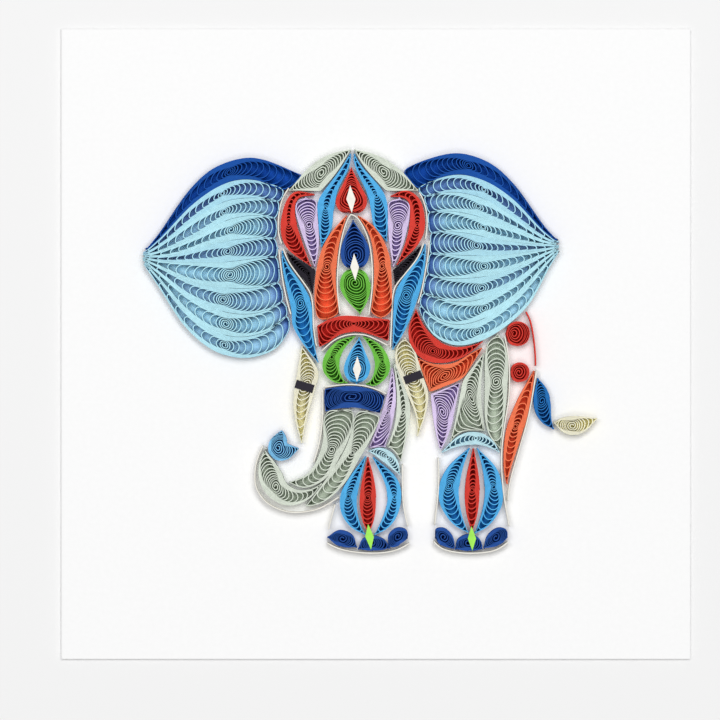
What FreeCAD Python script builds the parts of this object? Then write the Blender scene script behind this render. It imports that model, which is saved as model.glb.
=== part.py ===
"""Quilled elephant on a folded greeting card, in millimetres.

The card lies flat: X runs across its front, Y up its front, Z out of it.
The origin is the middle of the card's underside. Each coil is one paper
strip that stands on edge on the card, follows the coil's outline for its
outer turn and then winds inwards to its eye.
"""
import FreeCAD, Part
import math
import os

from FreeCAD import Vector

# Driving dimensions of the card
card_side = 152.4
leaf_thickness = 0.4
leaf_gap = 0.3

# Driving dimensions of the paper strips
strip_height = 3.0
paper_thickness = 0.2
coil_clearance = 0.1
edging_thickness = 0.35
diamond_thickness = 0.2
band_thickness = 0.25
tusk_band_width = 2.0
tusk_band_length = 4.5
rump_coil_radius = 3.05
tail_coil_radius = 2.45

# How a coil is drawn: corners on each side of its outer turn, corners in the
# inner turns, and how quickly the turns open out towards the two ends
side_corners = 3
lobe_corners = 6
inner_turn_corners = (4, 3)
thin_turn_corners = (4,)
corner_weight = 0.4
opening_power = 1.2
eye_width = 0.35
lobe_tip_reach = 0.15
lobe_bulge = 0.6

# Limits that keep the paper off itself, as shares: how far a corner drawn
# inwards may run along a side, the least way between two turns in sheets,
# and the least reach of the inner turns with the steps down to it
corner_room = 0.45
least_turn_gap = 1.2
least_reach = 0.3
reach_step = 0.9

card_top = 2 * leaf_thickness + leaf_gap
coil_top = card_top + strip_height


def vec(point):
    """Point on the card's front from an (x, y) pair."""
    return Vector(point[0], point[1], 0)


def smooth(points):
    """Fine polylines through the points, parted where a point given twice is a corner."""
    spans = [[vec(points[0])]]
    for before, point in zip(points, points[1:]):
        if before == point:
            spans.append([])
            spans[-1].append(spans[-2][-1])
        else:
            spans[-1].append(vec(point))
    fine = []
    for span in spans:
        curve = Part.BSplineCurve()
        curve.interpolate(span)
        fine.append(curve.discretize(Number=30))
    return fine


def bend(before, here, after):
    """Angle that a path turns through at a point, in radians."""
    return (here - before).getAngle(after - here)


def pick(spans, corners):
    """Ends of a smooth path, its corners and a few points between, closer where it bends."""
    fine = [spans[0][0]]
    fixed = []
    for span in spans:
        fine += span[1:]
        fixed.append(len(fine) - 1)
    lengths = [(b - a).Length for a, b in zip(fine, fine[1:])]
    bends = [min(bend(*fine[i - 1:i + 2]), corner_weight) for i in range(1, len(fine) - 1)] + [0]
    total_bend = max(sum(bends), 0.5)
    reach = [0]
    for length, angle in zip(lengths, bends):
        reach.append(reach[-1] + length / sum(lengths) + angle / total_bend)
    targets = [reach[-1] * step / (corners + 1) for step in range(1, corners + 1)]
    chosen = [next(i for i, value in enumerate(reach) if value >= target) for target in targets]
    for corner in fixed[:-1]:
        closest = min(range(corners), key=lambda i: abs(targets[i] - reach[corner]))
        chosen[closest] = corner
    for i in range(1, corners):
        chosen[i] = max(chosen[i], chosen[i - 1] + 1)
    return [fine[0]] + [fine[i] for i in chosen] + [fine[-1]]


def at_share(path, share):
    """Point at a share, 0 to 1, of a path's length."""
    left = share * sum((b - a).Length for a, b in zip(path, path[1:]))
    for a, b in zip(path, path[1:]):
        length = (b - a).Length
        if left <= length:
            return a + (b - a) * (left / length)
        left -= length
    return path[-1]


def normal(a, b):
    """Unit vector to the left of the way from a to b."""
    way = (b - a).normalize()
    return Vector(-way.y, way.x, 0)


def turns_left(loop):
    """True where a closed loop runs anticlockwise."""
    return sum(a.x * b.y - b.x * a.y for a, b in zip(loop, loop[1:] + loop[:1])) > 0


def mitre(before, here, after):
    """Unit bisector of the two normals at a corner, and its cosine with them."""
    first = normal(before, here)
    both = first + normal(here, after)
    if both.Length < 1e-6:
        both = (here - before).normalize()
    both.normalize()
    return both, max(both.dot(first), 0.02)


def inset(loop, depth):
    """Closed loop drawn inwards by a depth, with mitred corners."""
    side = 1 if turns_left(loop) else -1
    moved = []
    for i, here in enumerate(loop):
        before = loop[i - 1]
        after = loop[(i + 1) % len(loop)]
        way, cosine = mitre(before, here, after)
        room = corner_room * min((here - before).Length, (after - here).Length)
        moved.append(here + way * side * min(depth / cosine, max(room, depth)))
    return moved


def nearest(point, loop):
    """Nearest place on a closed loop: signed distance, place, edge and share of it."""
    best = None
    inside = False
    for i, a in enumerate(loop):
        b = loop[(i + 1) % len(loop)]
        edge = b - a
        share = min(max((point - a).dot(edge) / edge.dot(edge), 0), 1)
        place = a + edge * share
        distance = (point - place).Length
        if best is None or distance < best[0]:
            best = [distance, place, i, share]
        if (a.y > point.y) != (b.y > point.y):
            if point.x < a.x + (point.y - a.y) * (b.x - a.x) / (b.y - a.y):
                inside = not inside
    if inside:
        best[0] = -best[0]
    return best


def give_way(loop, placed, gap):
    """Loop whose corners draw back until the placed outlines are a gap away.

    A coil that is glued down last is squeezed by its neighbours: first its
    own corners leave the neighbour, then each edge that a neighbour's corner
    presses is moved off that corner.
    """
    loop = list(loop)
    reach = [min(p.x for p in loop), min(p.y for p in loop), max(p.x for p in loop), max(p.y for p in loop)]
    close = []
    for other in placed:
        xs = [p.x for p in other]
        ys = [p.y for p in other]
        apart_x = min(xs) > reach[2] + 1 or max(xs) < reach[0] - 1
        apart_y = min(ys) > reach[3] + 1 or max(ys) < reach[1] - 1
        if not (apart_x or apart_y):
            close.append(other)
    for _ in range(30):
        moved = False
        for other in close:
            for i, corner in enumerate(loop):
                distance, place, _edge, _share = nearest(corner, other)
                if distance < gap - 1e-4:
                    away = (place - corner) if distance < 0 else (corner - place)
                    if away.Length > 1e-9:
                        loop[i] = corner + away.normalize() * (gap - distance)
                        moved = True
            for corner in other:
                distance, place, i, share = nearest(corner, loop)
                if distance < gap - 1e-4:
                    away = (corner - place) if distance < 0 else (place - corner)
                    if away.Length > 1e-9:
                        push = away.normalize() * ((gap - distance) / ((1 - share) ** 2 + share ** 2))
                        j = (i + 1) % len(loop)
                        loop[i] = loop[i] + push * (1 - share)
                        loop[j] = loop[j] + push * share
                        moved = True
        if not moved:
            break
    return loop


def wall(path, thickness):
    """Outline of a strip that stands on edge along an open path."""
    half = thickness / 2
    left = [path[0] + normal(path[0], path[1]) * half]
    right = [path[0] - normal(path[0], path[1]) * half]
    for before, here, after in zip(path, path[1:], path[2:]):
        way, cosine = mitre(before, here, after)
        room = 2 * corner_room * min((here - before).Length, (after - here).Length)
        inner = min(half / cosine, max(room, half))
        outer = min(half / cosine, 1.5 * half)
        left_turn = (here - before).cross(after - here).z > 0
        left.append(here + way * (inner if left_turn else outer))
        right.append(here - way * (outer if left_turn else inner))
    left.append(path[-1] + normal(path[-2], path[-1]) * half)
    right.append(path[-1] - normal(path[-2], path[-1]) * half)
    return left + right[::-1]


def prism(loop, bottom, height):
    """Upright solid of a closed outline."""
    corners = [Vector(p.x, p.y, bottom) for p in loop]
    face = Part.Face(Part.makePolygon(corners + corners[:1]))
    return face.extrude(Vector(0, 0, height))


def strip(path, thickness):
    """Paper strip that stands on edge on the card."""
    return prism(wall(path, thickness), card_top, strip_height)


def apart(a, b, c, d):
    """Distance between two straight stretches of strip, a to b and c to d."""
    crossing = (b - a).cross(c - a).z * (b - a).cross(d - a).z < 0
    if crossing and (d - c).cross(a - c).z * (d - c).cross(b - c).z < 0:
        return 0
    return min(Vector(p).distanceToLineSegment(q, r).Length for p, q, r in
               ((a, c, d), (b, c, d), (c, a, b), (d, a, b)))


def clear(path, first):
    """True where the stretches from a corner onwards keep off all the others."""
    for i in range(first, len(path) - 1):
        for j in range(i - 1):
            if apart(path[i], path[i + 1], path[j], path[j + 1]) < paper_thickness * least_turn_gap:
                return False
    return True


def inner_turns(side_1, side_2, eye, reach, turn_corners):
    """Corners of the turns inside a coil's outline, ending at its eye.

    A place inside is a share along the coil and an offset to either side of
    its middle line. Each turn lies deeper by the same amount all along its
    two sides, where the paper bunches, and much further in at its two ends,
    where it fans out. The reach says how far the turns run to the ends.
    """
    middle = [(at_share(side_1, i / 40) + at_share(side_2, i / 40)) * 0.5 for i in range(41)]
    eye_at = min(range(4, 37), key=lambda i: (middle[i] - eye).Length) / 40
    corners = []
    first = turn_corners[0] * 0.6
    for count in turn_corners:
        for step in range(count):
            level = 1 - (len(corners) + first) / (sum(turn_corners) + first)
            spread = reach * level ** opening_power
            start = eye_at * (1 - spread)
            end = eye_at + (1 - eye_at) * spread
            angle = 2 * math.pi * step / count
            share = (start + end) / 2 - (end - start) / 2 * math.cos(angle)
            left = at_share(side_1, share)
            right = at_share(side_2, share)
            half = (left - right).Length / 2
            offset = max(half * level, eye_width) * math.sin(angle)
            corners.append((left + right) * 0.5 + (left - right).normalize() * offset)
    return corners


placed = []


def coil(side_1, side_2, eye, turn_corners=inner_turn_corners):
    """One quilled coil from the corners of its two sides, tip to end, and its eye.

    The strip's outer end lies half way along the second side, over the turn
    that comes round below it.
    """
    loop = inset(side_1 + side_2[-2:0:-1], coil_clearance / 2)
    loop = give_way(loop, placed, coil_clearance)
    placed.append(loop)
    end = len(side_1) - 1
    centre = inset(loop, paper_thickness / 2)
    under = inset(loop, paper_thickness * 1.5 + coil_clearance)
    kept_1 = centre[:end + 1]
    kept_2 = [centre[0]] + centre[:end - 1:-1]
    seam = len(centre) - (len(side_2) - 1) // 2
    outer = centre[seam:] + centre[:seam] + [under[seam]]
    reach = 1
    path = outer + inner_turns(kept_1, kept_2, vec(eye), reach, turn_corners)
    while reach > least_reach and not clear(path, len(outer) - 1):
        reach *= reach_step
        path = outer + inner_turns(kept_1, kept_2, vec(eye), reach, turn_corners)
    return strip(path, paper_thickness)


def leaf(tip, side_1, side_2, end, eye, corners=side_corners, turn_corners=inner_turn_corners):
    """Coil between two ends, from the few points that shape each side."""
    ends = [tip], [end]
    first = pick(smooth(ends[0] + side_1 + ends[1]), corners)
    second = pick(smooth(ends[0] + side_2 + ends[1]), corners)
    return coil(first, second, eye, turn_corners)


def round_coil(centre, radius, eye):
    """Coil rolled round and not pinched."""
    sides = []
    for sign in (1, -1):
        angles = [math.pi * (1 - sign * i / (side_corners + 1)) for i in range(side_corners + 2)]
        sides.append([vec(centre) + Vector(math.cos(a), math.sin(a), 0) * radius for a in angles])
    return coil(sides[0], sides[1], eye)


def ear(tip, seams, eyes):
    """Coils of one ear, crest first: each lies between two seams that fan out from its tip."""
    seams = [pick(smooth(seam), lobe_corners - 2) for seam in seams]
    coils = []
    for upper, lower, eye in zip(seams, seams[1:], eyes):
        start = (upper[0] + lower[0]) * 0.5
        lobe_tip = vec(tip) + (start - vec(tip)).normalize() * lobe_tip_reach
        last = (upper[-1] + lower[-1]) * 0.5
        outwards = (last - (upper[-2] + lower[-2]) * 0.5).normalize()
        end = last + outwards * lobe_bulge
        coils.append(coil([lobe_tip] + upper + [end], [lobe_tip] + lower + [end], eye))
    return coils


def edging(points, corners=5):
    """Edging strip that follows a boundary between coils."""
    path = pick(smooth(points), corners)
    placed.append(wall(path, edging_thickness))
    return strip(path, edging_thickness)


def flat_piece(corners, bottom, thickness):
    """Cut paper shape glued flat on top of the coils."""
    return prism([vec(p) for p in corners], bottom, thickness)


def diamond(centre, width, height, lean=0):
    """Upright diamond whose two ends lean apart sideways."""
    x, y = centre
    corners = [(x - lean, y + height / 2), (x + width / 2, y), (x + lean, y - height / 2), (x - width / 2, y)]
    return flat_piece(corners, coil_top, diamond_thickness)


def tusk_band(centre, angle):
    """Dark paper band laid across a tusk at an angle in degrees."""
    along = Vector(math.cos(math.radians(angle)), math.sin(math.radians(angle)), 0) * (tusk_band_length / 2)
    across = Vector(-along.y, along.x, 0) * (tusk_band_width / tusk_band_length)
    middle = vec(centre)
    corners = [middle - along - across, middle + along - across, middle + along + across, middle - along + across]
    return prism(corners, coil_top, band_thickness)


def folded_card():
    """One sheet folded at the left edge into two leaves."""
    half = card_side / 2
    outer = card_top / 2
    inner = leaf_gap / 2
    fold_x = -half + outer
    points = [
        Vector(fold_x, 0, 0),
        Vector(half, 0, 0),
        Vector(half, 0, leaf_thickness),
        Vector(fold_x, 0, leaf_thickness),
        Vector(fold_x, 0, leaf_thickness + leaf_gap),
        Vector(half, 0, leaf_thickness + leaf_gap),
        Vector(half, 0, card_top),
        Vector(fold_x, 0, card_top),
    ]
    edges = [Part.LineSegment(points[i], points[i + 1]).toShape() for i in (0, 1, 2, 4, 5, 6)]
    inner_bend = Part.Arc(points[3], Vector(fold_x - inner, 0, outer), points[4]).toShape()
    outer_bend = Part.Arc(points[7], Vector(-half, 0, outer), points[0]).toShape()
    profile = Part.Wire(edges[:3] + [inner_bend] + edges[3:] + [outer_bend])
    card = Part.Face(profile).extrude(Vector(0, card_side, 0))
    card.translate(Vector(0, -half, 0))
    return card


def save(name, solids):
    """One STEP file of one piece, or of a group of like pieces."""
    shape = solids[0] if len(solids) == 1 else Part.makeCompound(solids)
    shape.exportStep(os.path.join("parts", name + ".step"))


os.makedirs("parts", exist_ok=True)
save("folded_card", [folded_card()])

# Edging strips come first, and every coil gives way to them
save("head_edging", [
    edging([(-20.9, 37.7), (-22.7, 34.2), (-23.4, 30), (-23.3, 26.5), (-22.6, 24.3)]),
    edging([(-22.2, 23), (-20.6, 19.4), (-18, 15.7), (-15.6, 12), (-15.1, 8), (-14.8, 3), (-14.2, -0.5)]),
    edging([(-23.3, 22.8), (-22.8, 18.5), (-22, 13.5), (-21.1, 9.6), (-20.4, 7.2)]),
    edging([(10.6, 36.6), (12, 33.4), (12.5, 29.5), (12.3, 26.6), (12.1, 25.4)]),
    edging([(11.6, 24.3), (10.8, 22), (9, 19.2), (6.6, 16.3), (4.7, 13.6), (4.1, 10), (3.9, 5), (3.6, -0.9)]),
    edging([(13, 25), (12.8, 22), (12.1, 17.8), (11.2, 13), (10.3, 9.9)]),
])
save("face_edging", [
    edging([(-8.5, 7.2), (-9.1, 12), (-9.1, 18), (-8.3, 24.5), (-7, 29.3), (-5.6, 31.4),
            (-4, 29.9), (-2.1, 26.5), (-1, 21.5), (-0.7, 16), (-1, 11), (-1.6, 6.9)], corners=10),
    edging([(-13, -1.7), (-12, -0.8), (-10, 0.9), (-7.5, 2), (-4.6, 2.4), (-1.8, 2), (0.6, 0.9), (3, -0.3)]),
    edging([(-12.3, -10.4), (-9, -9.9), (-5, -9.8), (-2, -10.2), (0.5, -11), (2.7, -12)], corners=3),
])
save("leg_edging", [
    edging([(-9.7, -38.7), (-10.5, -41.5), (-11.3, -44.7)], corners=1),
    edging([(-11.6, -48), (-8, -49.6), (-3.8, -50.3), (1, -50.4), (5, -49.7), (8.2, -48.1)], corners=4),
    edging([(6.5, -29), (6.6, -34), (6.8, -39), (7.9, -44)], corners=1),
    edging([(15.2, -27.4), (15.4, -31), (15, -37), (14.3, -43.7)], corners=1),
    edging([(14.1, -47.6), (16.5, -49.5), (20, -50.3), (25, -50.4), (29, -49.7), (32, -47.8)], corners=4),
    edging([(31.2, 2), (32, -2.3), (32.4, -8), (32.1, -14), (31.1, -20.2), (30.5, -26), (30.5, -31), (31.2, -37.5),
            (32.3, -44)], corners=5),
    edging([(38.9, -6.2), (38.1, -11), (37, -17.2), (35.4, -23.4), (33.6, -29), (32.4, -34), (32, -37.8)],
           corners=3),
])
save("trunk_edging", [
    edging([(-12.7, -11), (-12.7, -17), (-13.2, -22), (-14.9, -28.5)], corners=2),
    edging([(-8.8, -36.9), (-12, -39), (-17, -40.5), (-22, -40.3), (-26.5, -38), (-28.9, -34),
            (-29, -30), (-28.3, -27.2), (-27.1, -24.5)], corners=7),
])
save("rump_edging", [
    edging([(36.4, 7.8), (37.5, 5.3), (38.2, 1.5), (38.6, -2), (38.7, -5.2)], corners=3),
])

# Face, from the crown down to the nose band
save("crown_drop", [
    leaf((-5.8, 42.6), [(-7.5, 39.3), (-9, 36.3), (-9.6, 34), (-8.7, 32.3)],
         [(-4.2, 39.3), (-2.6, 36.4), (-1.9, 34.2), (-2.9, 32.3)], (-5.9, 31.9), (-5.9, 35), 4),
])
save("forehead_drop", [
    leaf((-5.4, 29.9), [(-7.3, 26), (-8.5, 21.7), (-7, 18.6)],
         [(-3.6, 27), (-1.3, 21.7), (-3, 18.6)], (-5, 18.3), (-5, 21.3), 4),
])
save("nose_drop", [
    leaf((-3.7, 7.3), [(-6, 9.7), (-8.2, 12.6), (-8.5, 15.5), (-7, 17.8)],
         [(-2.7, 9), (-1.4, 12), (-1.3, 15), (-2.4, 17.4)], (-4.8, 18.2), (-4.9, 15), 4),
])
save("forehead_petals", [
    leaf((-5.75, 46.5), [(-7.2, 44), (-9.4, 40.9), (-12, 37.6), (-13.8, 34.5), (-14, 31), (-13.5, 26.5)],
         [(-6.3, 43), (-8.2, 39), (-9.7, 35.5), (-10, 31.5), (-10.4, 28.2), (-11.7, 25.7)],
         (-13.1, 23.3), (-12, 32.5), 4),
    leaf((-5.35, 46.5), [(-3.7, 43.5), (-1, 40.3), (1.2, 37.8), (2.8, 34.5), (3, 30), (2.9, 26.5)],
         [(-4.9, 43), (-3.4, 39.5), (-1.7, 35.7), (-1, 31.5), (-0.7, 29.2), (0.8, 26.9)],
         (2.8, 24.7), (0.3, 35), 4),
])
save("temple_drops", [
    leaf((-16.8, 35.3), [(-19.1, 34), (-18.9, 30.5), (-17.2, 25), (-15.6, 20.8)],
         [(-14.3, 34.5), (-13.6, 31), (-13.5, 26), (-13.8, 21.3)], (-14.6, 18.4), (-15.9, 28.3)),
    leaf((5.8, 35.2), [(3.2, 34), (3, 31), (3.2, 26), (3.8, 21.3)],
         [(8, 34), (8.1, 30.5), (7.2, 25.5), (5.6, 21)], (4.3, 18.4), (5.2, 27.9)),
])
save("temple_crescents", [
    leaf((-13.6, 36.2), [(-16, 36.9), (-19.5, 36.7), (-22, 33.5), (-22.9, 28.5), (-21.9, 24), (-18.5, 20.7)],
         [(-16.2, 35.8), (-18.5, 35.3), (-19.5, 32.5), (-18.8, 28.5), (-17.7, 25), (-16.2, 21.2)],
         (-15.4, 18.6), (-21, 28.5), 4),
    leaf((3.1, 35.7), [(5.2, 36.8), (8.4, 36.9), (10.8, 34.8), (11.9, 30.5), (11.6, 26), (8, 21.9)],
         [(5.6, 35.6), (7.6, 34.9), (8.4, 32), (8.1, 28), (7.2, 24.6), (6, 21.5)],
         (4.9, 18.7), (10.2, 28.5), 4),
])
save("brows", [
    leaf((-5.9, 47), [(-7.6, 44), (-10, 40.6), (-13.3, 36.9), (-13.3, 36.9), (-17, 37.1)],
         [(-8.8, 46.5), (-12, 45.3), (-15.3, 43.3), (-18.3, 40.3)], (-20.9, 37.1), (-13.5, 40.8)),
    leaf((-5.1, 47), [(-3.5, 44), (-1, 40.8), (2.6, 37), (2.6, 37), (6.5, 37.1)],
         [(-1.7, 46.3), (1.6, 45), (5, 43), (8, 40)], (10.4, 36.9), (2.2, 40.8)),
])
save("eyes", [
    leaf((-21.4, 22.2), [(-18.5, 20.5), (-14.5, 17.9), (-14.5, 17.9), (-14.8, 14)],
         [(-20, 19.2), (-17.5, 15.8)], (-15.1, 12.2), (-16.5, 17), turn_corners=thin_turn_corners),
    leaf((11.3, 24), [(8, 21), (4.3, 17.9), (4.3, 17.9), (4.4, 16)],
         [(9.8, 20.9), (7, 17.3)], (4.7, 14.5), (6.3, 18), turn_corners=thin_turn_corners),
])
save("face_panels", [
    leaf((-6.7, 31.5), [(-9, 29.1), (-11.7, 25.4), (-13.6, 21), (-14.4, 16), (-14.5, 10), (-14.4, 7)],
         [(-8.5, 25.5), (-9.3, 19), (-9.3, 13), (-8.8, 8)], (-11.7, 6), (-11.8, 18.3), 4),
    leaf((-4.5, 31.4), [(-2.6, 28.9), (-0.9, 24.5), (-0.4, 18.5), (-0.5, 12), (-1, 8)],
         [(-2, 30), (1.2, 26.4), (3.3, 21.5), (3.9, 14), (3.8, 8)], (1.4, 6.4), (1.8, 18.1), 4),
])
save("nose_band", [
    leaf((-13.6, -0.7), [(-14.1, 4.4), (-14.1, 4.4), (-12, 5.6), (-9, 6.7), (-4.6, 6.8), (0, 6.3), (3.5, 5.9),
                       (3.5, 5.9)],
         [(-12.2, -0.1), (-9.6, 1.8), (-4.7, 3), (-0.5, 2.1)], (3.2, 0.7), (-5, 4.6), 5),
])
save("cheeks", [
    leaf((-22.7, 23.5), [(-22.4, 17), (-21.2, 10), (-20, 4.5), (-17.4, 0)],
         [(-21, 19), (-18.2, 15), (-15.7, 10.8), (-14.9, 5), (-14.4, -0.5)], (-13.6, -4.8), (-18.1, 9), 4),
    leaf((12.2, 24.8), [(12, 19), (10.8, 13), (9.6, 9.2), (7.4, 3.8)],
         [(10.6, 21), (7.8, 17.2), (5, 13), (4.3, 8), (4.1, 2)], (4.1, -1.6), (7.3, 11), 4),
])

# Trunk
save("trunk_drop", [
    leaf((-3.9, 1.6), [(-5.6, -1), (-7, -3.6), (-7.6, -6), (-6.8, -8.4)],
         [(-2.7, -1.5), (-1.6, -4), (-1.2, -6.3), (-2.4, -8.6)], (-4.6, -9.5), (-4.5, -6), 4),
])
save("trunk_crescents", [
    leaf((-4.6, 2.1), [(-7.5, 1.6), (-10.3, -0.1), (-12.4, -3), (-12.4, -7), (-10, -9.2)],
         [(-6.4, 0.3), (-8.2, -2.4), (-8.6, -5.5), (-7.8, -8.3)], (-6.6, -9.5), (-10.9, -3.6), 4),
    leaf((-3.1, 2), [(-0.8, 1.2), (1.6, -0.6), (3.3, -3.5), (3, -7.6), (1, -9.7)],
         [(-1.8, 0), (-0.6, -2.2), (-0.2, -5), (-0.7, -7.8)], (-2.3, -9.7), (1.5, -4.5), 4),
])
save("trunk_band", [
    leaf((-12.4, -13.5), [(-12.2, -10.9), (-12.2, -10.9), (-8, -10.2), (-3, -10.4), (0.5, -11.4), (2.5, -12.4),
                          (2.5, -12.4)],
         [(-12.1, -16.2), (-12.1, -16.2), (-8.5, -15.4), (-4, -15.5), (-1, -16.1), (1.2, -16.9),
          (1.2, -16.9)],
         (1.9, -14.6), (-5, -13), 4),
])
save("trunk_left_coil", [
    leaf((-8.8, -15.9), [(-12, -16.8), (-12.5, -22), (-13.8, -27), (-15.5, -30.4), (-18, -32.3)],
         [(-5.3, -16.6), (-5.6, -20), (-8, -26), (-11.5, -32), (-15.5, -34.5)], (-20.9, -33.4), (-10.8, -26.4), 5),
])
save("trunk_right_coil", [
    leaf((-2, -16.2), [(-4.9, -17), (-6.2, -22), (-9, -27.8), (-12.5, -33.3), (-15.3, -36.8)],
         [(0.8, -17.3), (-1.3, -22.6), (-3.9, -28), (-7.5, -33.8), (-11.5, -37.6)], (-16.9, -39.2),
         (-6.2, -27.3), 5),
])
save("trunk_end_coil", [
    leaf((-25.9, -23.8), [(-27.9, -28), (-28.1, -32.5), (-26, -36.5), (-21.5, -38.9), (-17, -38), (-14.1, -35.6)],
         [(-26.2, -26.4), (-23.6, -29.3), (-22.2, -32.5), (-19.2, -35), (-15.2, -34.8)],
         (-12.3, -33.3), (-24, -35.4), 6),
])
save("trunk_tip", [
    leaf((-22.7, -20.7), [(-24.7, -22.2), (-26, -25), (-25, -27.4), (-22, -28.1), (-19.7, -26.8)],
         [(-21.8, -22), (-21.3, -23.9), (-21.3, -23.9), (-19.6, -24.6)], (-18.3, -25.2), (-23.5, -25.2), 4),
])
save("tusks", [
    leaf((-17.8, -0.4), [(-18.4, -4.5), (-19.2, -9), (-19.8, -14), (-19, -20)],
         [(-15.6, -3.6), (-13.9, -6.6), (-14.6, -11), (-16.5, -18)], (-17.8, -24.4), (-17.2, -10.3), 4),
    leaf((7.1, 1.4), [(5.3, -0.5), (4.8, -4), (6.5, -9.3), (9, -15)],
         [(8.6, 0), (10.6, -5.3), (12.7, -11), (12.2, -17)], (10.1, -22.9), (9.2, -8.2), 4),
])

# Shoulder and front leg
save("shoulder_grey", [
    leaf((4.2, -3), [(4.9, -8.5), (5.2, -13.5), (4.6, -19.5), (2.7, -24.7), (2.7, -24.7), (4.7, -26)],
         [(5.6, -6.5), (8, -12), (8.4, -17), (7.2, -24)], (6.2, -28.3), (6.9, -16.8), 4),
])
save("shoulder_drop", [
    leaf((4.1, -5), [(3.3, -10), (1.7, -16), (0, -21), (-1.7, -25.1), (-1.7, -25.1)],
         [(4.8, -10), (4.8, -15.5), (3.9, -20.2)], (2.3, -24.7), (3.1, -17.2)),
])
save("knee_caps", [
    leaf((-1.7, -25.8), [(1, -25), (3.6, -25.9), (5.4, -28.2)], [(1, -27.6), (3.8, -30)], (6, -31.6), (2.4, -27),
         turn_corners=thin_turn_corners),
    leaf((15.5, -26.5), [(18.2, -23.6), (21.5, -21.5), (25, -21.3), (28.3, -23.2)],
         [(18.8, -25), (23, -24.2), (27.2, -24.9)], (30.1, -26.2), (23.8, -22.8), 4, thin_turn_corners),
])
save("leg_leaves", [
    leaf((-1.8, -26.9), [(-3, -32), (-3.8, -37), (-3.2, -42.5)], [(-0.7, -31), (0.2, -37), (-0.3, -42.5)],
         (-1.6, -45.9), (-1.7, -37.5)),
    leaf((23.7, -24.6), [(22.6, -29), (21.6, -35.5), (22.1, -41.5)], [(24.5, -29), (25.2, -35.5), (24.6, -41.5)],
         (23.3, -45.6), (23.4, -35.8)),
])
save("leg_petals", [
    leaf((-2.1, -26.6), [(-5, -30.7), (-8.2, -35.6), (-8.2, -40.8), (-5, -44.9)],
         [(-3.5, -32), (-4.4, -37), (-4, -42)], (-2.4, -46.1), (-6.5, -37.5), 4),
    leaf((-0.9, -26.9), [(2.5, -29.6), (5.6, -33.2), (6.2, -38), (4, -43.4)],
         [(1, -30.5), (2.9, -36.5), (1.6, -42.2)], (-0.3, -46.2), (4.6, -37), 4),
    leaf((22.9, -24.8), [(19.3, -27.8), (15.9, -32.5), (15.6, -38.5), (18.8, -43.5)],
         [(21.2, -29.5), (20.2, -36), (21.2, -42)], (22.5, -45.6), (17.8, -34.7), 4),
    leaf((24.4, -24.8), [(27.8, -28), (30.6, -33), (30.8, -38), (28, -43.2)],
         [(25.7, -29), (26.4, -36), (25.3, -42)], (24, -45.8), (28.4, -35.2), 4),
])
save("toenails", [
    leaf((-11.5, -46.6), [(-8.8, -44.9), (-5.7, -45.9)], [(-8.8, -48.7), (-6, -49.2)], (-4.5, -49), (-7.7, -46.9), 2),
    leaf((-4.1, -49.4), [(-2.6, -46.7), (0.8, -46.4), (2.7, -47.7)], [(-1.5, -49.8), (1.3, -49.8)],
         (3.5, -49.2), (-0.6, -47.8)),
    leaf((3, -48.6), [(3.7, -45.3), (6, -44.2), (7.6, -44.9)], [(4.2, -49), (6.2, -48.2)], (7.9, -46.7), (5.6, -46.5)),
    leaf((14.4, -46.6), [(14.8, -44.5), (17, -44.5), (18.8, -46.6)], [(15.2, -48), (17.3, -49.1)],
         (19.1, -49.3), (16.7, -46.7)),
    leaf((19.3, -49.4), [(20.7, -46.4), (23.3, -45.9), (25.2, -47)], [(21.5, -49.8), (24, -49.9)],
         (25.9, -49.3), (22.6, -47.8)),
    leaf((26.2, -49.2), [(27.2, -46), (29.6, -44.3), (31.7, -44.8)], [(28.2, -49), (30.6, -48.1)],
         (32, -46.4), (29.2, -46.5)),
])

# Flank, haunch, hind leg and tail
save("flank_crescent", [
    leaf((9.8, 8.5), [(8.2, 5), (8.2, 1), (10.3, -2.9), (14.5, -4.5), (19.5, -4), (23.8, -1.3)],
         [(11.2, 5.3), (14, 1.8), (18, -0.4), (22.5, -0.4)], (26.8, 1.1), (14.3, -1.9), 5),
])
save("flank_triangle", [
    leaf((10, -3.2), [(14.5, -4.8), (19.5, -4.3), (23.8, -1.7)],
         [(11.3, -6.8), (13.1, -11.5), (13.1, -11.5), (17.5, -10.1), (21, -8.3), (24.2, -3.4)],
         (26.2, -0.5), (17.2, -7.4), 4),
])
save("flank_drop", [
    leaf((15.7, -25.8), [(14.7, -22), (13.7, -16), (13.4, -12), (13.4, -12), (16.5, -10.9)],
         [(17.6, -21.7), (19, -17), (19.9, -12.3)], (20.5, -9.2), (16.9, -16), 4),
])
save("haunches", [
    leaf((26.3, -1.9), [(25.8, -6), (25.5, -11), (25.8, -16.5), (26.7, -21.1), (26.7, -21.1), (23.3, -20.9),
                        (20, -22)],
         [(24.2, -4.8), (21.4, -8.6), (20.2, -13.5), (19.1, -19)], (18, -23.8), (23.1, -13.6), 4),
    leaf((29.5, 2.3), [(27.3, 0.5), (26.5, -5), (26.4, -13), (27.3, -21.5)],
         [(31, 0.6), (31.9, -6), (31.7, -15), (30.8, -21.5)], (30.2, -25.3), (29.2, -10.2), 5),
])
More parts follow.
